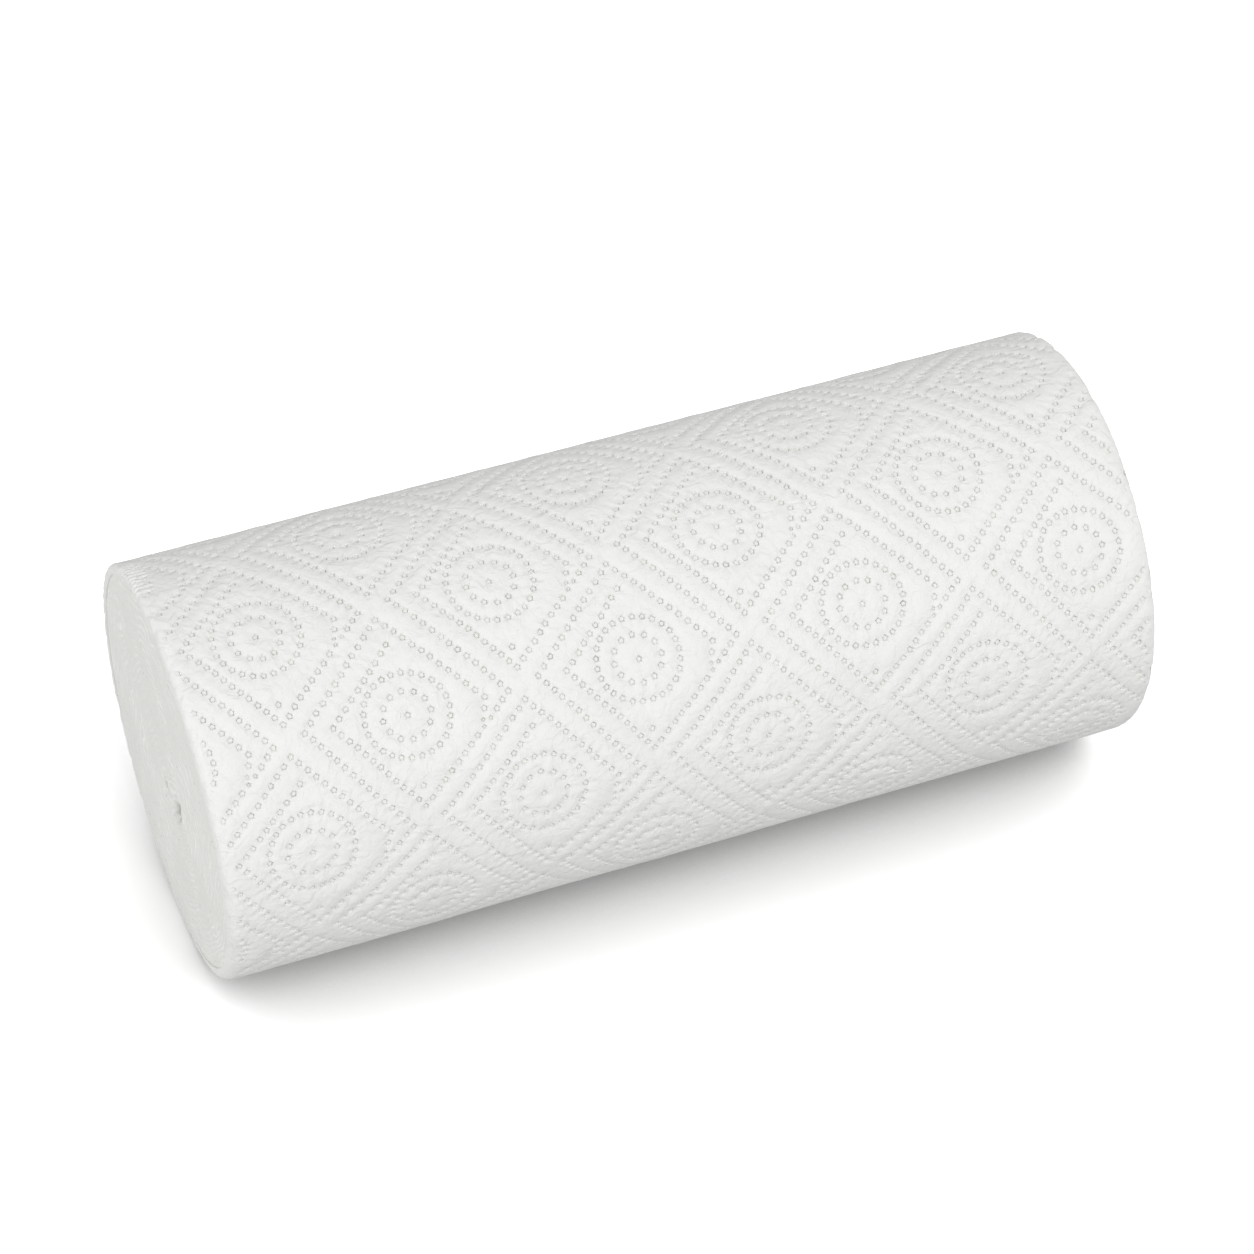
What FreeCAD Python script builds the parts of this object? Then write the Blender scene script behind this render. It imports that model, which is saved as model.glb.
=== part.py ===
import FreeCAD, Part
import math
import os

Vector = FreeCAD.Vector

# A paper towel roll lying on its side, in millimetres.
# The axis runs along X, the origin is the middle of the flat spot underneath, and +Z is up.
# Angles go round the axis from the front (-Y) over the top (+Z), as the paper is wound.

# The roll
roll_length = 230.0      # width of the sheet
roll_radius = 50.2       # from the axis to the outside of the last turn, at its tail edge
flat_depth = 0.8         # how far the soft roll is pressed flat where it lies
rim_radius = 3.3         # rounding of the soft rims
rim_steps = 3            # straight steps that each rounding is drawn with

# The last turn
tail_thickness = 0.6     # step at the sheet's tail edge
tail_angle = 200.0       # place of the tail edge, on the back

# The turns that show on the end faces
turn_count = 4           # whole turns drawn as one wound groove
turn_start_gap = 1.4     # from the rim rounding to where the groove starts
groove_width = 1.1
groove_depth = 0.6

# The crumpled middle, where the first turn starts
eye_offset = -9.0        # the winding has settled this far towards the front
eye_width = 3.6
eye_height = 2.4
eye_depth = 4.0
eye_folds = 3            # folds that pucker its outline
eye_pucker = 0.3         # how far the folds go in and out, as a share of its size
eye_taper = 0.35         # size of its bottom, as a share of its mouth
eye_corners = 7          # corners of its outline

# The quilting: lozenge pads between pressed channels
pad_pitch_along = 54.6   # from pad to pad along one row
pad_pitch_around = 52.4  # wanted pitch round the roll, which the girth then rounds
pad_relief = 0.5         # height of the pads over the channels
channel_width = 4.0
pad_phase_along = -66.2  # middle of one pad of the first row
pad_phase_angle = 43.1   # angle of the first row
cut_margin = 1.0         # how far cutting shapes reach past what they cut

# Values worked out from the sizes above
axis_height = roll_radius - flat_depth
half_length = roll_length / 2
pads_around = max(3, round(2 * math.pi * roll_radius / pad_pitch_around))
row_angle = 180.0 / pads_around


def outward(angle):
    """Direction out from the axis at an angle round the roll."""
    turn = math.radians(angle)
    return Vector(0, -math.cos(turn), math.sin(turn))


def around(angle):
    """Direction of the winding at an angle round the roll."""
    turn = math.radians(angle)
    return Vector(0, math.sin(turn), math.cos(turn))


def half_turn(centre, radius, start, end, rounding):
    """Half of a roll on one centre, from one angle on, out to an end each way."""
    out = outward(start)
    foot = radius - rounding

    def rim(side):
        points = []
        for i in range(rim_steps + 1):
            turn = math.pi / 2 * i / rim_steps
            x = end - rounding + rounding * math.cos(turn)
            points.append(centre + Vector(side * x, 0, 0) + out * (foot + rounding * math.sin(turn)))
        return points if rounding else points[:1]

    along = Vector(end, 0, 0)
    points = [centre - along, centre + along] + rim(1) + rim(-1)[::-1]
    section = Part.Face(Part.makePolygon(points + points[:1]))
    return section.revolve(centre, Vector(1, 0, 0), -180)


def wound_body(depth, end, rounding):
    """The roll out to its last turn, or to a depth below the last turn's outer side.

    The last turn is two half circles on two centres, which lie a quarter of the
    sheet's step each side of the axis, so the radius grows by one step in a turn.
    """
    axis = Vector(0, 0, axis_height)
    quarter = tail_thickness / 4
    shift = outward(tail_angle) * quarter
    inner_radius = roll_radius - 3 * quarter - depth
    outer_radius = roll_radius - quarter - depth
    inner = half_turn(axis - shift, inner_radius, tail_angle, end, rounding)
    outer = half_turn(axis + shift, outer_radius, tail_angle + 180, end, rounding)
    return outer.fuse(inner)


def frustum(lower, upper):
    """A solid between two like polygons, given as lists of corners."""
    count = len(lower)
    faces = [Part.Face(Part.makePolygon(ring + ring[:1])) for ring in (lower, upper)]
    for i in range(count):
        j = (i + 1) % count
        faces.append(Part.Face(Part.makePolygon([lower[i], lower[j], upper[j], upper[i], lower[i]])))
    return Part.Solid(Part.Shell(faces))


def pad_block(x, angle):
    """A four-sided block that cuts one lozenge pad out of the last turn.

    Its sides stand square to the paper halfway along each edge of the lozenge,
    so they meet in a point on the far side of the roll.
    """
    half_along = pad_pitch_along / 2
    half_around = math.radians(row_angle) * roll_radius
    across = half_along * half_around / math.hypot(half_along, half_around)
    shrink = 1 - channel_width / 2 / across
    reach = math.radians(row_angle) * shrink
    apex = roll_radius * reach / 2 / math.sin(reach / 2)
    low = roll_radius * math.cos(reach) - tail_thickness - pad_relief - cut_margin
    high = roll_radius + cut_margin

    def corners(height):
        scale = shrink * (height + apex) / (roll_radius + apex)
        middle = Vector(x, 0, axis_height) + outward(angle) * height
        along = Vector(half_along * scale, 0, 0)
        up = around(angle) * (half_around * scale)
        return [middle - along, middle - up, middle + along, middle + up]

    return frustum(corners(low), corners(high))


def pad_blocks():
    """All the pads: rows along the roll, every second row moved on by half a pitch."""
    blocks = []
    for row in range(2 * pads_around):
        start = pad_phase_along - (row % 2) * pad_pitch_along / 2
        first = math.ceil((-half_length - pad_pitch_along / 2 - start) / pad_pitch_along)
        last = math.floor((half_length + pad_pitch_along / 2 - start) / pad_pitch_along)
        for column in range(first, last + 1):
            x = start + column * pad_pitch_along
            if abs(x) < half_length + pad_pitch_along / 2 - channel_width:
                blocks.append(pad_block(x, pad_phase_angle - row * row_angle))
    return blocks


def channel_net():
    """The pressed channels, as the space round the pads between the soft rims."""
    reach = half_length - rim_radius
    sleeve = Part.makeCylinder(
        roll_radius + cut_margin / 2,
        2 * reach,
        Vector(-reach, 0, axis_height),
        Vector(1, 0, 0),
    )
    return sleeve.cut([wound_body(pad_relief, half_length, 0)] + pad_blocks())


def groove_half(side, start, finish):
    """Half a turn of the groove on one end, from one place on the level line to another."""
    end = side * half_length
    middle = Vector(0, (start + finish) / 2, axis_height)
    rise = cut_margin
    spread = groove_width / 2 * (1 + rise / groove_depth)
    section = Part.makePolygon([
        Vector(end - side * groove_depth, start, axis_height),
        Vector(end + side * rise, start - spread, axis_height),
        Vector(end + side * rise, start + spread, axis_height),
        Vector(end - side * groove_depth, start, axis_height),
    ])
    return Part.Face(section).revolve(middle, Vector(1, 0, 0), 180)


def end_grooves(side):
    """The turns on one end: half circles that meet on a level line through the eye."""
    start = roll_radius - rim_radius - turn_start_gap
    turns = turn_count + 0.5
    halves = []
    for k in range(turn_count):
        back = eye_offset + (start - eye_offset) * (1 - k / turns)
        front = eye_offset - (start + eye_offset) * (1 - (k + 0.5) / turns)
        next_back = eye_offset + (start - eye_offset) * (1 - (k + 1) / turns)
        halves.append(groove_half(side, back, front))
        halves.append(groove_half(side, front, next_back))
    return halves


def eye_cutter(side):
    """The crumpled pit in the middle of one end, which narrows inwards."""
    def outline(x, size):
        corners = []
        for i in range(eye_corners):
            turn = 2 * math.pi * i / eye_corners
            pucker = size * (1 + eye_pucker * math.cos(eye_folds * turn))
            y = eye_width / 2 * pucker * math.cos(turn)
            z = eye_height / 2 * pucker * math.sin(turn)
            corners.append(Vector(x, eye_offset + y, axis_height + z))
        return corners

    steepness = (1 - eye_taper) / eye_depth
    mouth = outline(side * (half_length + cut_margin), 1 + steepness * cut_margin)
    bottom = outline(side * (half_length - eye_depth), eye_taper)
    return frustum(bottom, mouth)


def towel_roll():
    """The whole roll, which is one wound sheet."""
    body = wound_body(0, half_length, rim_radius)
    floor = Part.makeBox(
        roll_length + 2 * cut_margin,
        2 * roll_radius,
        flat_depth + cut_margin,
        Vector(-half_length - cut_margin, -roll_radius, -flat_depth - cut_margin),
    )
    cutters = [channel_net(), floor]
    for side in (-1, 1):
        cutters.extend(end_grooves(side))
        cutters.append(eye_cutter(side))
    return body.cut(cutters).Solids[0]


os.makedirs("parts", exist_ok=True)
roll = towel_roll()
roll.exportStep("parts/towel_roll.step")
print("towel_roll", roll.isValid(), round(roll.Volume), roll.BoundBox)
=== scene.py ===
import math

import bmesh
import bpy
from mathutils import Matrix, Vector, kdtree, noise


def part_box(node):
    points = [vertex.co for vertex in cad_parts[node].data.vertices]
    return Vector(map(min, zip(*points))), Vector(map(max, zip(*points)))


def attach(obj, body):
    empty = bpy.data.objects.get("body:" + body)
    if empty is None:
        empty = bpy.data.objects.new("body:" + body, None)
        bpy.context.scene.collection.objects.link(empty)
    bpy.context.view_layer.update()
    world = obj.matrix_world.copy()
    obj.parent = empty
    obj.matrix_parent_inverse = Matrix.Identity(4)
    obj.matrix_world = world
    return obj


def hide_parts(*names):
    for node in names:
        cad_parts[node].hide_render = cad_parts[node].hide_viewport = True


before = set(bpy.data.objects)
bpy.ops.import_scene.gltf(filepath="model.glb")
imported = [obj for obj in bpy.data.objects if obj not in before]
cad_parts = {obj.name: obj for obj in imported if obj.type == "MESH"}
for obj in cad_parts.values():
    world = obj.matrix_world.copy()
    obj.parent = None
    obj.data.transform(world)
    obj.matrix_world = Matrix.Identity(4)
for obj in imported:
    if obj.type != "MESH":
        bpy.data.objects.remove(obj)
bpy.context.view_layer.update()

# The roll, in millimetres, from the frame
MM = 0.001
roll_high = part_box("towel_roll")[1]
HALF_LENGTH = roll_high.x / MM
RADIUS = roll_high.y / MM          # of the last turn at its tail edge, on the back
TAIL_STEP = 0.6                    # how much the last turn's radius grows all the way round
TAIL_ANGLE = 200.0                 # from the front (-Y) over the top, in degrees
SHEET_TURN = 262.0                 # the last sheet goes this far round, to its perforation
TOP_ANGLE = 90.0
AXIS_HEIGHT = roll_high.z / MM - RADIUS + TAIL_STEP * (TAIL_ANGLE - TOP_ANGLE) / 360
RIM_RADIUS = 3.3                   # rounding of the soft rims
RIM_SHARPER = 1.9                  # how much less it is where the rim is sharpest
RIM_SHARPEST = 150.0               # at this angle, up behind
HALF_STRIP = HALF_LENGTH - RIM_RADIUS + RIM_RADIUS * math.pi / 2   # half the sheet's width, over the rims

# The pressed pattern, in millimetres on the flat sheet, from the middle of one lozenge
STEP_ALONG = 27.3                  # half a repeat along the roll
ROWS_ROUND = 12                    # half repeats round the roll
STEP_ROUND = 2 * math.pi * RADIUS / ROWS_ROUND
UP_STEP = Vector((STEP_ALONG, STEP_ROUND, 0))
DOWN_STEP = Vector((STEP_ALONG, -STEP_ROUND, 0))
PATTERN_X = -66.2                  # a lozenge's middle along the roll
PATTERN_ANGLE = 43.1               # and round it, in degrees
PATTERN_SKEW = -0.024              # the pattern runs this much off square
OUTER_TOP, OUTER_RIGHT = Vector((-0.5, 23.5, 0)), Vector((23.7, 0.0, 0))
OUTER_BOTTOM, OUTER_LEFT = Vector((-0.2, -21.7, 0)), Vector((-23.4, 1.6, 0))
INNER_TOP, INNER_RIGHT = Vector((0.0, 17.0, 0)), Vector((18.0, 0.0, 0))
INNER_BOTTOM, INNER_LEFT = Vector((0.0, -16.8, 0)), Vector((-16.8, 1.1, 0))
RINGS = ((5.6, 12), (9.9, 26))     # radius and number of dots
SLOPE_RADIUS = 1.1                 # the sheet slopes down from here to the edge of a dot
SLOPE_GAP = 0.06                   # left between the slopes of near neighbours
SLOPE_DEPTH = 0.2
DOT_RADIUS = 0.84                  # a dot is a ring pressed round a little mound
DOT_GROOVE = 0.58                  # radius of the ring's bottom
DOT_DEPTH = 0.47
MOUND_RADIUS = 0.34                # of its flat top
MOUND_HEIGHT = 0.3
DOT_SIDES = 5
DOT_SINK = 0.12                    # how far the sheet is drawn down along the rows
DOT_DRAW = 2.2                     # over this radius
DOT_FADE = 2.0                     # how fast the dots end over a rim, for each radian of it
DEPTH_SPREAD = 0.3                 # how unlike the dots' depths are
DEPTH_LENGTH = 1.9                 # over this length
TOP_DEPTH = 0.25                   # how much deeper they have stayed on top, where nothing pressed
SWAY = 0.3                         # how far the rows stray sideways
SWAY_LENGTH = 5.0                  # over this length
WAVES = ((0.13, 40.0, 0.3), (0.05, 10.0, 7.1))   # height, length and seed of the sheet's unevenness
WAVES_DROP = 0.12                  # how far the whole sheet is lowered for it
SHEET_THICKNESS = 1.4              # of the last few turns, which the dots press together
EDGE_SINK = 0.5                    # the cut edges lie down by this for each radian round the rim
EDGE_FROM = 0.7                    # from this angle on
PERFORATION_DIP = 0.3              # the sheet dips at its perforation
PERFORATION_REACH = 1.2
FINEST_EDGE = 3.6                  # longest edge left in the sheet between dots
EDGE_PASSES = 3                    # times that longer edges are halved
UNDERSIDE_STEP = 6.0               # widest strip of the sheet's underside, round the roll
RIM_CUTS = 5                       # and its strips over each rim
DOUBLE = 1e-4                      # corners nearer than this are one
LOZENGES_ALONG, LOZENGES_ROUND = range(-6, 8), range(-12, 24)   # more than any sheet here needs
LOZENGE_MARGIN = 2.0               # how far past its half repeat a lozenge may reach

# Short folds over the near rim, where the roll was squeezed
FOLD_START, FOLD_END = 100.0, 122.0   # angles round the roll
FOLD_PITCH = 1.8
FOLD_DEPTH = 0.9
FOLD_FOOT = 0.7                    # they start this far before the rim's rounding, as a share of it
FOLD_WIDTH = 2.27                  # and are this wide, in the same measure
FOLD_LEAN = 0.9                    # how far they lean across the rim
FOLD_EDGE = 0.6                    # longest edge left there
FOLD_PASSES = 4                    # times that longer edges are halved

# The wound ends
TURN_STEPS = 512
RING_COUNT = 110
DISC_TUCK = 2.2                    # the turns start this far under the rim's edge
TUCK_DEPTH = 1.1                   # and this deep, within the last sheet
TUCK_WIDTH = 1.1                   # the way down to it starts this far in
DISC_DEPTH = 12.0
TURNS_DEPTH = 0.65                 # how deep the turns' edges lie elsewhere
WANDERS = ((2.6, 13.0), (0.9, 5.0))   # how far the turns stray from circles, and over which length
TURN_WAVES = ((0.09, 4.2, 1.6), (0.04, 1.7, 1.1))   # height, pitch and share of the straying
ROUGHNESS, ROUGH_LENGTH = 0.15, 3.3
ENDS_APART = 20.0                  # takes each end's unevenness from another place in the noise
EYE_PLACE = Vector((-7.0, -7.0))   # the crumpled middle has settled down and to the front
EYE_DEPTH = 8.0
EYE_SHADE = 2.2                    # how fast the painted shade darkens the paper on the way into the eye
EYE_SLIT = ((2.3, -2.1), (-2.3, 2.1))   # its ends, from the eye
SLIT_WIDTH = 1.1
EYE_CREASE = ((0.0, 0.0), (8.0, -0.7))
CREASE_WIDTH = 0.7
CREASE_DEPTH = EYE_DEPTH / 3
CRUMPLE_DEPTH, CRUMPLE_REACH = 1.8, 7.5   # of the small folds round the eye
CRUMPLE_LENGTH = 1.7               # size of one
CRUMPLE_BIAS = 0.6                 # how much more of them goes in than out
LIP_RECESS = 2.8                   # how far the turns lie inside the lip, most at the upper front
LIP_REACH = 7.0                    # over this width
LIP_WAY = Vector((-0.69, 0.73))

# Light, in watts and metres
SKY_LIGHT = 0.58
KEY_POWER, KEY_SIZE, KEY_PLACE = 62.0, 2.4, Vector((0.95, -2.45, 2.9))
FILL_POWER, FILL_SIZE, FILL_PLACE = 16.5, 1.0, Vector((-2.4, -0.6, 0.55))
FLOOR_SIZE = 4.0
FLOOR_COLOUR = "#CCCCCC"
# The floor colour that the camera sees is painted darker near the roll, as a painted shadow, from how
# much open sky each place has
SHADOW_REACH = 0.08                # painted shadow: the camera sees the floor's colour darker this near to the roll
SHADOW_CORE = 0.38                 # the painted shadow's tone where no sky reaches it
SHADOW_RISE = 1.65                 # and how much lighter the painted floor colour is under an open sky
SHADOW_SAMPLES = 16

# The camera, fitted to the roll's outline and pattern in the photograph
LENS, SENSOR_WIDTH = 121.26, 36.0
CAMERA_PLACE = (-0.2570, -0.6657, 0.7033)   # in metres, from the middle of the roll's axis
CAMERA_DOWN, CAMERA_TURN = 44.29, 21.07     # in degrees, from level and from the front
NEAREST_SEEN, FARTHEST_SEEN = 0.05, 20


def rows_of_dots():
    """The middles of the dots of one lozenge, without those that its neighbours hold."""
    def row(start, finish, count, first=0, last=0):
        return [start.lerp(finish, i / (count - 1)) for i in range(first, count - last)]

    dots = [Vector((0, 0, 0)), INNER_BOTTOM]
    dots += row(OUTER_TOP, OUTER_LEFT, 13)
    dots += row(INNER_TOP, INNER_LEFT, 10)
    dots += row(OUTER_TOP, INNER_RIGHT, 13, first=1)
    dots += row(OUTER_RIGHT, OUTER_LEFT + UP_STEP, 15, last=1)
    dots += row(INNER_LEFT, OUTER_BOTTOM, 13, first=1)
    dots += row(OUTER_RIGHT, OUTER_BOTTOM, 14, first=1)[:-1]
    dots += row(INNER_RIGHT, INNER_RIGHT + Vector((-1.6, -5.0, 0)), 3, first=1)
    for radius, count in RINGS:
        for i in range(count):
            turn = 2 * math.pi * i / count
            dots.append(Vector((radius * math.cos(turn), radius * math.sin(turn), 0)))
    return dots


def tile_outline():
    """Corners of one repeat, going round well clear of every dot, so that copies meet."""
    right = Vector((27.2, 0.85, 0))
    top = right - DOWN_STEP
    between_rows = [Vector((4.05, 26.5, 0)), Vector((6.45, 28.2, 0)), Vector((6.35, 27.0, 0))]
    up_side = [top] + between_rows + [Vector((25.2, 2.3, 0))]
    down_side = [right, Vector((25.25, -1.35, 0)), Vector((1.85, -23.15, 0))]
    bottom = right - UP_STEP
    left = bottom - DOWN_STEP
    back_up = [p - UP_STEP for p in reversed(up_side[1:])]
    back_down = [p - DOWN_STEP for p in reversed(down_side[1:])]
    corners = up_side + down_side + [bottom] + back_up + [left] + back_down
    points = []
    for a, b in zip(corners, corners[1:] + corners[:1]):
        parts = math.ceil((b - a).length / FINEST_EDGE)
        points += [a.lerp(b, i / parts) for i in range(parts)]
    return points


def pattern_tile(dots):
    """One repeat of the sheet, flat, with every dot pressed in."""
    lozenges = 9                   # this one and those round it
    tree = kdtree.KDTree(len(dots) * lozenges)
    for i, p in enumerate(dots):
        for up in (-1, 0, 1):
            for down in (-1, 0, 1):
                tree.insert(p + UP_STEP * up + DOWN_STEP * down, i)
    tree.balance()

    bm = bmesh.new()
    is_dot = bm.faces.layers.int.new("is_dot")
    corners = [bm.verts.new(p) for p in tile_outline()]
    for a, b in zip(corners, corners[1:] + corners[:1]):
        bm.edges.new((a, b))
    for p in dots:
        nearest = tree.find_n(p, 2)[1][2]
        radius = min(SLOPE_RADIUS, (nearest - SLOPE_GAP) / 2)
        bmesh.ops.create_circle(
            bm, cap_ends=True, segments=DOT_SIDES, radius=radius, matrix=Matrix.Translation(p)
        )
    for cap in bm.faces:
        cap[is_dot] = 1
    bmesh.ops.triangle_fill(bm, use_beauty=True, edges=bm.edges[:], normal=(0, 0, 1))
    for _ in range(EDGE_PASSES):
        long_edges = [e for e in bm.edges if not e.is_boundary and e.calc_length() > FINEST_EDGE]
        bmesh.ops.subdivide_edges(bm, edges=long_edges, cuts=1)
        sheet = [f for f in bm.faces if not f[is_dot]]
        sheet = bmesh.ops.triangulate(bm, faces=sheet)["faces"]
        inner = {e for f in sheet for e in f.edges if not any(g[is_dot] for g in e.link_faces)}
        bmesh.ops.beautify_fill(bm, faces=sheet, edges=[e for e in inner if not e.is_boundary])
    for face in bm.faces:
        face.normal_update()
        if face.normal.z < 0:
            face.normal_flip()

    for v in bm.verts:
        distance = tree.find(v.co)[2]
        v.co.z = -DOT_SINK * math.exp(-((distance / DOT_DRAW) ** 2))
    caps = [f for f in bm.faces if f[is_dot]]
    side_share = math.cos(math.pi / DOT_SIDES)
    for width, rise in (
        (SLOPE_RADIUS - DOT_RADIUS, -SLOPE_DEPTH),
        (DOT_RADIUS - DOT_GROOVE, -DOT_DEPTH),
        (DOT_GROOVE - MOUND_RADIUS, MOUND_HEIGHT),
    ):
        bmesh.ops.inset_individual(bm, faces=caps, thickness=width * side_share, depth=rise)
        for edge in {e for cap in caps for e in cap.edges}:
            edge.smooth = False
    bm.faces.layers.int.remove(is_dot)
    mesh = bpy.data.meshes.new("tile")
    bm.to_mesh(mesh)
    bm.free()
    return mesh


def flat_sheet(tile, start_angle, end_angle):
    """The sheet between two angles round the roll, still flat: x along, y round, z out."""
    low, high = (math.radians(a) * RADIUS for a in (start_angle, end_angle))
    origin = Vector((PATTERN_X, math.radians(PATTERN_ANGLE) * RADIUS, 0))
    bm = bmesh.new()
    reach = STEP_ALONG + LOZENGE_MARGIN
    for along in LOZENGES_ALONG:
        for around in LOZENGES_ROUND:
            if (along + around) % 2:
                continue
            place = origin + Vector((along * STEP_ALONG, around * STEP_ROUND, 0))
            drift = PATTERN_SKEW * place.x
            if abs(place.x) > HALF_STRIP + reach:
                continue
            if not low - reach < place.y + drift < high + reach:
                continue
            known = len(bm.verts)
            bm.from_mesh(tile)
            bm.verts.ensure_lookup_table()
            bmesh.ops.translate(bm, verts=bm.verts[known:], vec=place)
    bmesh.ops.remove_doubles(bm, verts=bm.verts[:], dist=DOUBLE)
    shear = Matrix.Identity(4)
    shear[1][0] = PATTERN_SKEW
    bmesh.ops.transform(bm, matrix=shear, verts=bm.verts[:])
    for point, outwards in (
        ((-HALF_STRIP, 0, 0), (-1, 0, 0)),
        ((HALF_STRIP, 0, 0), (1, 0, 0)),
        ((0, low, 0), (0, -1, 0)),
        ((0, high, 0), (0, 1, 0)),
    ):
        bmesh.ops.bisect_plane(
            bm, geom=bm.verts[:] + bm.edges[:] + bm.faces[:], dist=DOUBLE,
            plane_co=point, plane_no=outwards, clear_outer=True,
        )
    return bm


def close_underside(bm):
    """Gives the flat sheet its cut edges and an underside, so that it is a closed solid.

    The underside has few corners, and is cut across and along so that it bends as the sheet does.
    """
    rim = [e for e in bm.edges if e.is_boundary]
    for edge in rim:
        edge.smooth = False
    low = min(v.co.y for e in rim for v in e.verts)
    high = max(v.co.y for e in rim for v in e.verts)
    cuts = math.ceil((high - low) / UNDERSIDE_STEP)
    new = bmesh.ops.extrude_edge_only(bm, edges=rim)["geom"]
    lower = [v for v in new if isinstance(v, bmesh.types.BMVert)]
    for v in lower:
        x, y, z = v.co
        if HALF_STRIP - abs(x) < DOUBLE:
            y = low + (high - low) * round((y - low) / (high - low) * cuts) / cuts
        else:
            x = HALF_STRIP * round(x / HALF_STRIP * cuts) / cuts
        v.co = (x, y, -SHEET_THICKNESS)
    bmesh.ops.remove_doubles(bm, verts=lower, dist=DOUBLE)
    under = [e for e in bm.edges if e.is_boundary]
    for edge in under:
        edge.smooth = False
    filled = bmesh.ops.triangle_fill(bm, use_beauty=True, edges=under, normal=(0, 0, -1))["geom"]
    faces = [f for f in filled if isinstance(f, bmesh.types.BMFace)]
    geom = faces + list({e for f in faces for e in f.edges})
    geom += list({v for f in faces for v in f.verts})
    planes = [((0, low + (high - low) * i / cuts, 0), (0, 1, 0)) for i in range(1, cuts)]
    straight = HALF_LENGTH - RIM_RADIUS
    for i in range(RIM_CUTS):
        across = straight + (HALF_STRIP - straight) * i / RIM_CUTS
        planes += [((across, 0, 0), (1, 0, 0)), ((-across, 0, 0), (1, 0, 0))]
    for point, normal in planes:
        geom = bmesh.ops.bisect_plane(
            bm, geom=geom, dist=DOUBLE, plane_co=point, plane_no=normal
        )["geom"]
    bmesh.ops.recalc_face_normals(bm, faces=bm.faces[:])


def sway(place, size, seed):
    """Smooth unevenness between -1 and 1 at a place on the roll, over lengths of a size."""
    return noise.noise(place / size + Vector((seed, 0, 0)))


def rim_fold(x, angle):
    """Depth of the short folds over the near rim."""
    across = (abs(x) - HALF_LENGTH + RIM_RADIUS) / RIM_RADIUS
    window = (angle - FOLD_START) * (FOLD_END - angle) / ((FOLD_END - FOLD_START) / 2) ** 2
    if x > 0 or across < -FOLD_FOOT or window < 0:
        return 0
    bulge = math.sin(math.pi * (across + FOLD_FOOT) / FOLD_WIDTH)
    wave = math.sin(2 * math.pi * math.radians(angle) * RADIUS / FOLD_PITCH + FOLD_LEAN * across)
    return FOLD_DEPTH * bulge * math.sqrt(window) * max(wave, 0)


def refine_folds(bm):
    """Adds corners to the flat sheet where the short folds are.

    Faces that the cuts leave on the same corners as another are taken out with it.
    """
    start, finish = (math.radians(a) * RADIUS for a in (FOLD_START, FOLD_END))
    inner = HALF_LENGTH - 2 * RIM_RADIUS
    for _ in range(FOLD_PASSES):
        cut = {f for v in bm.verts if v.co.x < -inner + FINEST_EDGE for f in v.link_faces}
        bmesh.ops.triangulate(bm, faces=[f for f in cut if len(f.verts) > 3])
        folded = [v for v in bm.verts if v.co.x < -inner and start < v.co.y < finish]
        near = {e for v in folded for e in v.link_edges if e.calc_length() > FOLD_EDGE}
        bmesh.ops.subdivide_edges(bm, edges=list(near), cuts=1)
    alike = {}
    for face in bm.faces:
        alike.setdefault(frozenset(face.verts), []).append(face)
    twins = [f for same in alike.values() if len(same) > 1 for f in same]
    bmesh.ops.delete(bm, geom=twins, context="FACES")


def rim_radius(turn):
    """Rounding of the rims at an angle, in degrees."""
    sharp = max(math.cos(math.radians(turn - RIM_SHARPEST)), 0)
    return RIM_RADIUS - RIM_SHARPER * math.sqrt(sharp)


def wrap(bm, joint_angle):
    """Winds the flat sheet round the roll, over the soft rims and onto the flat spot."""
    for v in bm.verts:
        x, y, out = v.co
        angle = y / RADIUS
        round_roll = Vector((x, RADIUS * math.cos(angle), RADIUS * math.sin(angle)))
        over_rim = max((abs(x) - HALF_LENGTH + RIM_RADIUS) / RIM_RADIUS, 0)
        plain = max(1 - DOT_FADE * over_rim, 0)
        if out > DOUBLE - SHEET_THICKNESS:
            uneven = DEPTH_SPREAD * sway(round_roll, DEPTH_LENGTH, 3.1)
            out *= (1 + uneven + TOP_DEPTH * max(math.sin(angle), 0)) * plain
        out -= EDGE_SINK * max(over_rim - EDGE_FROM, 0)
        x += SWAY * sway(round_roll, SWAY_LENGTH, 11.0)
        angle += SWAY * sway(round_roll, SWAY_LENGTH, 19.0) / RADIUS
        out += sum(height * sway(round_roll, length, seed) for height, length, seed in WAVES) - WAVES_DROP
        turn = math.degrees(angle)
        to_joint = math.radians(turn - joint_angle) * RADIUS / PERFORATION_REACH
        out -= PERFORATION_DIP * plain * math.exp(-(to_joint ** 2)) + rim_fold(x, turn)
        radius = RADIUS - TAIL_STEP * (TAIL_ANGLE - turn) / 360
        rounding = rim_radius(turn)
        straight = HALF_LENGTH - rounding
        if abs(x) > straight:
            bend = min((abs(x) - straight) / rounding, math.pi / 2)
            past = abs(x) - straight - bend * rounding
            radius += (rounding + out) * math.cos(bend) - rounding - past
            along = math.copysign(straight + (rounding + out) * math.sin(bend), x)
        else:
            radius += out
            along = x
        height = AXIS_HEIGHT + radius * math.sin(angle)
        v.co = Vector((along, -radius * math.cos(angle), max(height, 0))) * MM


def keep_flat_places(bm):
    """Writes each corner's place on the flat sheet to the UV map, in metres."""
    layer = bm.loops.layers.uv.new("flat_sheet")
    for face in bm.faces:
        for loop in face.loops:
            loop[layer].uv = (loop.vert.co.x * MM, loop.vert.co.y * MM)


def finish_piece(bm, name, material):
    """Makes the mesh an object of paper that rides on the roll's body."""
    mesh = bpy.data.meshes.new(name)
    for face in bm.faces:
        face.smooth = True
    bm.to_mesh(mesh)
    bm.free()
    mesh.materials.append(material)
    piece = bpy.data.objects.new(name, mesh)
    bpy.context.scene.collection.objects.link(piece)
    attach(piece, "root")
    return piece


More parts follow.
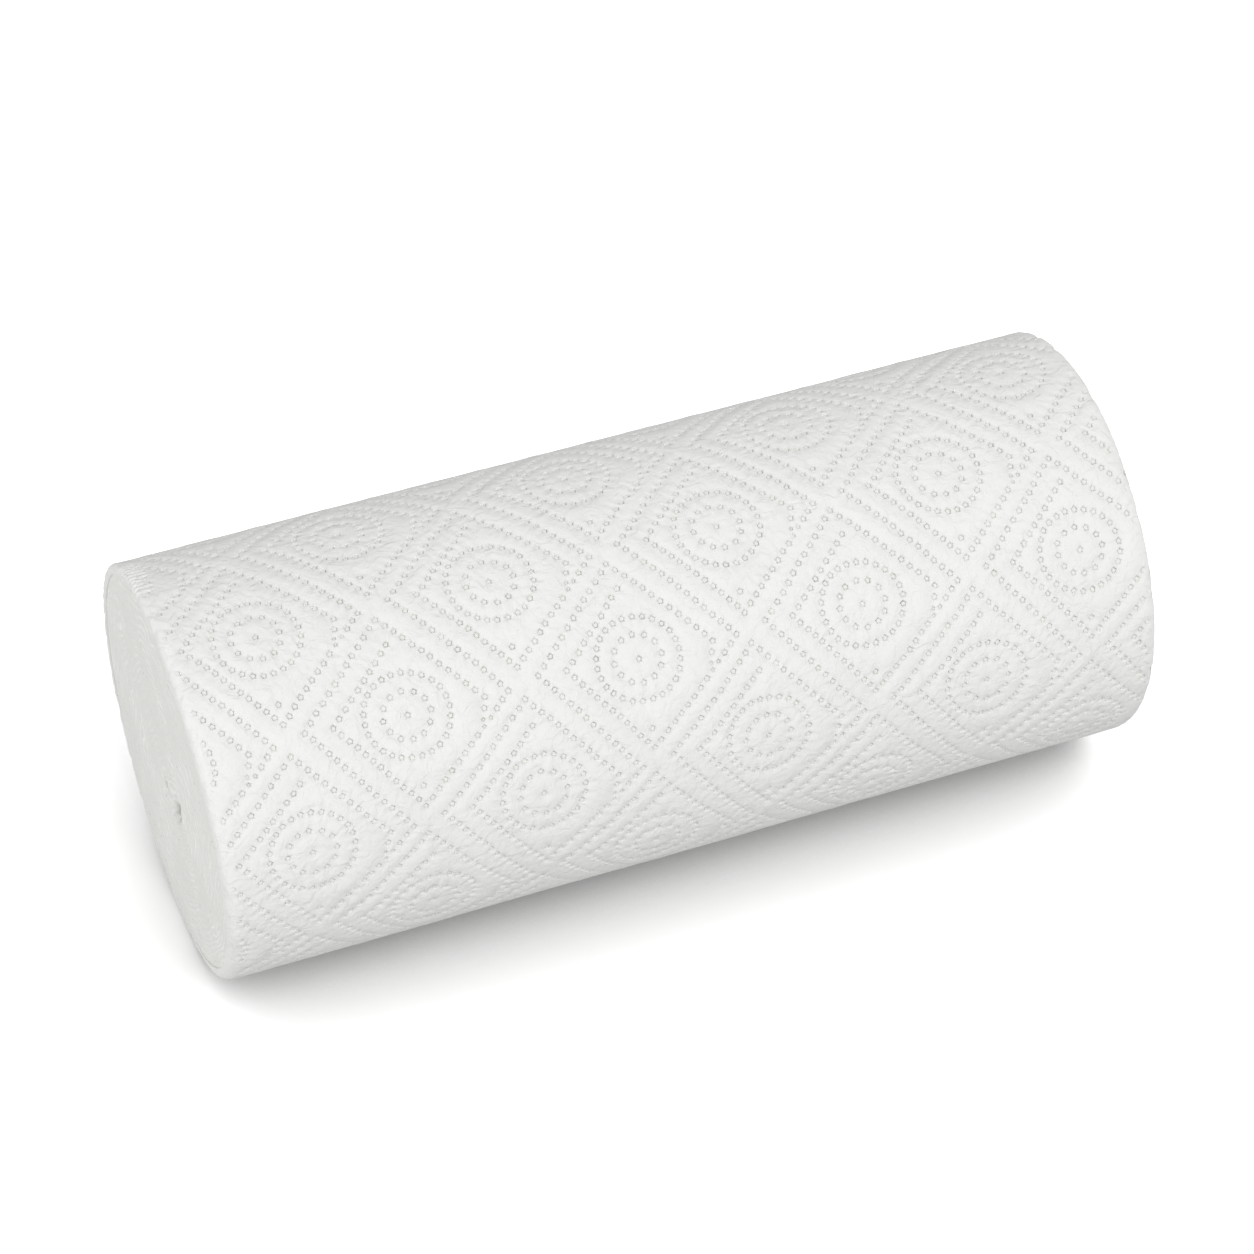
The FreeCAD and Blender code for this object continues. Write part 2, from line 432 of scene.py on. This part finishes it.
def wound_sheet(tile, name, start_angle, end_angle, material):
    """The sheet between two angles, with its dots, wound onto the roll."""
    bm = flat_sheet(tile, start_angle, end_angle)
    refine_folds(bm)
    close_underside(bm)
    keep_flat_places(bm)
    wrap(bm, TAIL_ANGLE - SHEET_TURN)
    return finish_piece(bm, name, material)


def to_segment(y, z, ends):
    """Distance of a point of the end from a straight fold."""
    start, finish = (Vector(p) for p in ends)
    way = finish - start
    place = Vector((y, z)) - start
    share = min(max(place.dot(way) / way.dot(way), 0), 1)
    return (place - way * share).length


def eye_fold(y, z):
    """Depth of the crumpled middle at a place, from the eye."""
    slit = EYE_DEPTH * math.exp(-((to_segment(y, z, EYE_SLIT) / SLIT_WIDTH) ** 2))
    crease = CREASE_DEPTH * math.exp(-((to_segment(y, z, EYE_CREASE) / CREASE_WIDTH) ** 2))
    return max(slit, crease)


def turn_depth(y, z, share, outer, side):
    """How deep the turns lie at a place on one end, with the crumpled eye in the middle."""
    far = share * outer
    place = Vector((y, z, side * ENDS_APART))
    wander = sum(width * noise.noise(place / length) for width, length in WANDERS)
    to_lip = (1 + LIP_WAY.dot(Vector((y, z))) / outer) / 2
    lip = LIP_RECESS * to_lip ** 2 * math.exp(-(((outer - far) / LIP_REACH) ** 2))
    crumple = CRUMPLE_DEPTH * math.exp(-((far / CRUMPLE_REACH) ** 2))
    depth = TURNS_DEPTH + lip
    for height, pitch, stray in TURN_WAVES:
        depth += height * math.sin(2 * math.pi * (far + wander * stray) / pitch)
    depth += ROUGHNESS * noise.noise(place / ROUGH_LENGTH)
    depth += eye_fold(y, z)
    depth += crumple * (noise.noise(place / CRUMPLE_LENGTH) + CRUMPLE_BIAS)
    tucked = min(max(far - outer + TUCK_WIDTH, 0), 1)
    return depth + (TUCK_DEPTH - depth) * tucked


def wound_end(side, name, material):
    """One end of the roll: the edges of the turns, wavy, round the crumpled middle."""
    outer = RADIUS - TAIL_STEP - RIM_RADIUS + DISC_TUCK
    bm = bmesh.new()
    layer = bm.loops.layers.uv.new("round_the_eye")
    # share of painted shade in the crumpled eye, for the edges' material
    shade = bm.verts.layers.float.new("painted_eye_shade")
    line = [bm.verts.new((0, 0, 0)), bm.verts.new((0, 1, 0))]
    edge = bm.edges.new(line)
    bmesh.ops.subdivide_edges(bm, edges=[edge], cuts=RING_COUNT - 1)
    bmesh.ops.spin(
        bm, geom=bm.verts[:] + bm.edges[:], cent=(0, 0, 0), axis=(1, 0, 0),
        angle=2 * math.pi, steps=TURN_STEPS, use_merge=True,
    )
    bmesh.ops.remove_doubles(bm, verts=bm.verts[:], dist=DOUBLE)
    rim = [e for e in bm.edges if e.is_boundary]
    for face in bm.faces:
        for loop in face.loops:
            loop[layer].uv = (loop.vert.co.y * outer * MM, loop.vert.co.z * outer * MM)
    for v in bm.verts:
        share = math.hypot(v.co.y, v.co.z)
        y, z = v.co.y * outer, v.co.z * outer
        depth = turn_depth(y, z, share, outer, side)
        # painted shade: the paper is coloured darker the deeper it lies in the crumpled eye
        v[shade] = min(eye_fold(y, z) / EYE_DEPTH * EYE_SHADE, 1)
        eye = EYE_PLACE * (1 - share)
        v.co = Vector((side * (HALF_LENGTH - depth), eye.x + y, AXIS_HEIGHT + eye.y + z)) * MM
    geom = bmesh.ops.extrude_edge_only(bm, edges=rim)["geom"]
    for v in geom:
        if isinstance(v, bmesh.types.BMVert):
            v.co.x = side * (HALF_LENGTH - DISC_DEPTH) * MM
    back = [e for e in geom if isinstance(e, bmesh.types.BMEdge) and e.is_boundary]
    bmesh.ops.contextual_create(bm, geom=back)
    for v in bm.verts:
        v.co.z = max(v.co.z, 0)
    bmesh.ops.recalc_face_normals(bm, faces=bm.faces[:])
    return finish_piece(bm, name, material)


def colour(code):
    """A linear colour from an sRGB hex value."""
    parts = [int(code[i:i + 2], 16) / 255 for i in (1, 3, 5)]
    return [p / 12.92 if p <= 0.04045 else ((p + 0.055) / 1.055) ** 2.4 for p in parts] + [1.0]


def add(tree, kind, inputs=(), **settings):
    """Adds a node with its settings, and gives its sockets their values or links."""
    node = tree.nodes.new(kind)
    for name, value in settings.items():
        setattr(node, name, value)
    for socket, value in dict(inputs).items():
        if isinstance(value, bpy.types.NodeSocket):
            tree.links.new(value, node.inputs[socket])
        else:
            node.inputs[socket].default_value = value
    return node


def new_tree(holder):
    """An empty node tree for a material or a world."""
    holder.use_nodes = True
    holder.node_tree.nodes.clear()
    return holder.node_tree


def matt_paper(tree, tint, normal):
    """Ends a tree with the paper's surface, which has next to no gloss."""
    shader = add(tree, "ShaderNodeBsdfPrincipled", {
        "Base Color": tint,
        "Roughness": 0.95,
        "Specular IOR Level": 0.15,
        "Normal": normal,
    })
    add(tree, "ShaderNodeOutputMaterial", {"Surface": shader.outputs["BSDF"]})


def blend(tree, share, first, second):
    """A colour between two others, which are hex codes or sockets."""
    sides = [colour(c) if isinstance(c, str) else c for c in (first, second)]
    mix = add(tree, "ShaderNodeMix", data_type="RGBA")
    for index, value in ((0, share), (6, sides[0]), (7, sides[1])):
        if isinstance(value, bpy.types.NodeSocket):
            tree.links.new(value, mix.inputs[index])
        else:
            mix.inputs[index].default_value = value
    return mix.outputs[2]


def embossed_tissue(name):
    """Two-ply tissue, creped and pressed between steel rolls.

    The fibres make it faintly cloudy and rough, and the press puckers it between the dots.
    """
    material = bpy.data.materials.new(name)
    tree = new_tree(material)
    place = add(tree, "ShaderNodeTexCoord").outputs["Object"]
    cloud_size, fibre_size, pucker_size = 0.012, 0.0006, 0.0035
    fibre_height, pucker_height = 0.00012, 0.0011
    clouds = add(tree, "ShaderNodeTexNoise", {"Vector": place, "Scale": 1 / cloud_size, "Detail": 3.0})
    fibres = add(tree, "ShaderNodeTexNoise", {"Vector": place, "Scale": 1 / fibre_size, "Detail": 3.0})
    puckers = add(tree, "ShaderNodeTexNoise", {
        "Vector": place, "Scale": 1 / pucker_size, "Detail": 4.0, "Distortion": 1.2,
    })
    tint = blend(tree, clouds.outputs["Fac"], "#EDEDEB", "#F4F4F2")
    rough = add(tree, "ShaderNodeBump", {
        "Height": fibres.outputs["Fac"], "Distance": fibre_height, "Strength": 0.6,
    })
    bump = add(tree, "ShaderNodeBump", {
        "Height": puckers.outputs["Fac"], "Distance": pucker_height, "Strength": 0.6,
        "Normal": rough.outputs["Normal"],
    })
    matt_paper(tree, tint, bump.outputs["Normal"])
    return material


def wound_edges(name):
    """The folded and cut edges of many turns: thin pale lines that wander like wood grain, with painted
    shade darkening the crumpled eye.
    """
    material = bpy.data.materials.new(name)
    tree = new_tree(material)
    place = add(tree, "ShaderNodeTexCoord").outputs["Object"]
    flat = add(tree, "ShaderNodeUVMap", uv_map="round_the_eye").outputs["UV"]
    line_pitch, wander_size, speck_size, line_height = 0.0017, 0.014, 0.0009, 0.00015
    wave_period = math.pi / 10     # of Blender's wave texture at a scale of 1
    lines = add(tree, "ShaderNodeTexWave", {
        "Vector": flat, "Scale": wave_period / line_pitch, "Distortion": 16.0,
        "Detail": 3.0, "Detail Scale": line_pitch / wander_size / wave_period, "Detail Roughness": 0.55,
    }, wave_type="RINGS", rings_direction="Z")
    specks = add(tree, "ShaderNodeTexNoise", {"Vector": place, "Scale": 1 / speck_size, "Detail": 3.0})
    clouds = add(tree, "ShaderNodeTexNoise", {"Vector": place, "Scale": 1 / wander_size, "Detail": 2.0})
    sharp = add(tree, "ShaderNodeMath", {0: lines.outputs["Fac"], 1: 3.0}, operation="POWER")
    patchy = add(tree, "ShaderNodeMapRange", {
        "Value": clouds.outputs["Fac"], "From Min": 0.42, "From Max": 0.62, "To Max": 0.7,
    })
    shown = add(tree, "ShaderNodeMath", {0: sharp.outputs[0], 1: patchy.outputs[0]}, operation="MULTIPLY")
    lit = blend(tree, shown.outputs[0], "#ECECE9", "#FFFFFD")
    nicks = add(tree, "ShaderNodeMapRange", {
        "Value": specks.outputs["Fac"], "From Min": 0.66, "From Max": 0.72, "To Max": 0.5,
    })
    nicked = blend(tree, nicks.outputs[0], lit, "#A8A8A5")
    # painted shade: the crumpled eye is coloured dark grey, where shade falls
    painted_shade_share = add(tree, "ShaderNodeAttribute", attribute_name="painted_eye_shade").outputs["Fac"]
    tint = blend(tree, painted_shade_share, nicked, "#8C8C89")
    height = add(tree, "ShaderNodeMath", {
        0: specks.outputs["Fac"], 1: 0.5, 2: lines.outputs["Fac"],
    }, operation="MULTIPLY_ADD")
    bump = add(tree, "ShaderNodeBump", {
        "Height": height.outputs[0], "Distance": line_height, "Strength": 0.6,
    })
    matt_paper(tree, tint, bump.outputs["Normal"])
    return material


def seen_directly(tree):
    """1 for what the camera sees, straight or in metal and glass, and 0 for light that bounces."""
    path = add(tree, "ShaderNodeLightPath").outputs
    in_metal = add(tree, "ShaderNodeMath", {
        0: path["Is Camera Ray"], 1: path["Is Glossy Ray"],
    }, operation="MAXIMUM")
    in_glass = add(tree, "ShaderNodeMath", {
        0: in_metal.outputs[0], 1: path["Is Transmission Ray"],
    }, operation="MAXIMUM")
    return in_glass.outputs[0]


def studio():
    """A pale floor with a painted shadow near the roll, a plain sky, a wide soft lamp in front and a weak
    one by the near end.
    """
    scene = bpy.context.scene
    roll_middle = Vector((0, 0, AXIS_HEIGHT * MM))
    bm = bmesh.new()
    bmesh.ops.create_grid(bm, x_segments=1, y_segments=1, size=FLOOR_SIZE)
    mesh = bpy.data.meshes.new("floor")
    bm.to_mesh(mesh)
    bm.free()
    floor = bpy.data.objects.new("floor", mesh)
    scene.collection.objects.link(floor)
    material = bpy.data.materials.new("floor_with_painted_shadow")
    tree = new_tree(material)
    plain = add(tree, "ShaderNodeBsdfDiffuse", {"Color": colour(FLOOR_COLOUR)})
    # painted shadow: the camera-seen floor colour is darkened by the roll's occlusion
    open_sky = add(tree, "ShaderNodeAmbientOcclusion", {"Distance": SHADOW_REACH}, samples=SHADOW_SAMPLES)
    painted_shadow_tone = add(tree, "ShaderNodeMath", {
        0: open_sky.outputs["AO"], 1: SHADOW_RISE, 2: SHADOW_CORE,
    }, operation="MULTIPLY_ADD")
    seen = add(tree, "ShaderNodeBsdfDiffuse", {"Color": painted_shadow_tone.outputs[0]})
    both = add(tree, "ShaderNodeMixShader", {
        0: seen_directly(tree), 1: plain.outputs[0], 2: seen.outputs[0],
    })
    add(tree, "ShaderNodeOutputMaterial", {"Surface": both.outputs[0]})
    mesh.materials.append(material)

    world = bpy.data.worlds.new("sky")
    scene.world = world
    tree = new_tree(world)
    light = add(tree, "ShaderNodeBackground", {"Color": (1, 1, 1, 1), "Strength": SKY_LIGHT})
    white = add(tree, "ShaderNodeBackground", {"Color": (1, 1, 1, 1), "Strength": 1.0})
    mixed = add(tree, "ShaderNodeMixShader", {
        0: seen_directly(tree), 1: light.outputs[0], 2: white.outputs[0],
    })
    add(tree, "ShaderNodeOutputWorld", {"Surface": mixed.outputs[0]})

    for name, power, size, place in (
        ("key_lamp", KEY_POWER, KEY_SIZE, KEY_PLACE),
        ("fill_lamp", FILL_POWER, FILL_SIZE, FILL_PLACE),
    ):
        data = bpy.data.lights.new(name, "AREA")
        data.shape = "SQUARE"
        data.size = size
        data.energy = power
        lamp = bpy.data.objects.new(name, data)
        lamp.location = place
        lamp.rotation_mode = "QUATERNION"
        lamp.rotation_quaternion = (roll_middle - place).to_track_quat("-Z", "Y")
        scene.collection.objects.link(lamp)


def camera():
    """The photograph's view: from above the front, on the side of the near end."""
    data = bpy.data.cameras.new("camera")
    data.lens = LENS
    data.sensor_width = SENSOR_WIDTH
    data.clip_start, data.clip_end = NEAREST_SEEN, FARTHEST_SEEN
    view = bpy.data.objects.new("camera", data)
    x, y, z = CAMERA_PLACE
    view.location = Vector((x, y, z + AXIS_HEIGHT * MM))
    view.rotation_euler = (math.radians(90 - CAMERA_DOWN), 0, math.radians(-CAMERA_TURN))
    bpy.context.scene.collection.objects.link(view)
    bpy.context.scene.camera = view


bpy.context.scene.view_settings.view_transform = "Standard"
camera()
studio()
paper = embossed_tissue("embossed_tissue")
tile = pattern_tile(rows_of_dots())
last_sheet = wound_sheet(tile, "last_sheet", TAIL_ANGLE - SHEET_TURN, TAIL_ANGLE, paper)
wound_sheet(tile, "sheet_below", TAIL_ANGLE - 360, TAIL_ANGLE - SHEET_TURN, paper)
edges = wound_edges("wound_edges")
wound_end(-1, "near_turns", edges)
wound_end(1, "far_turns", edges)
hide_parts("towel_roll")
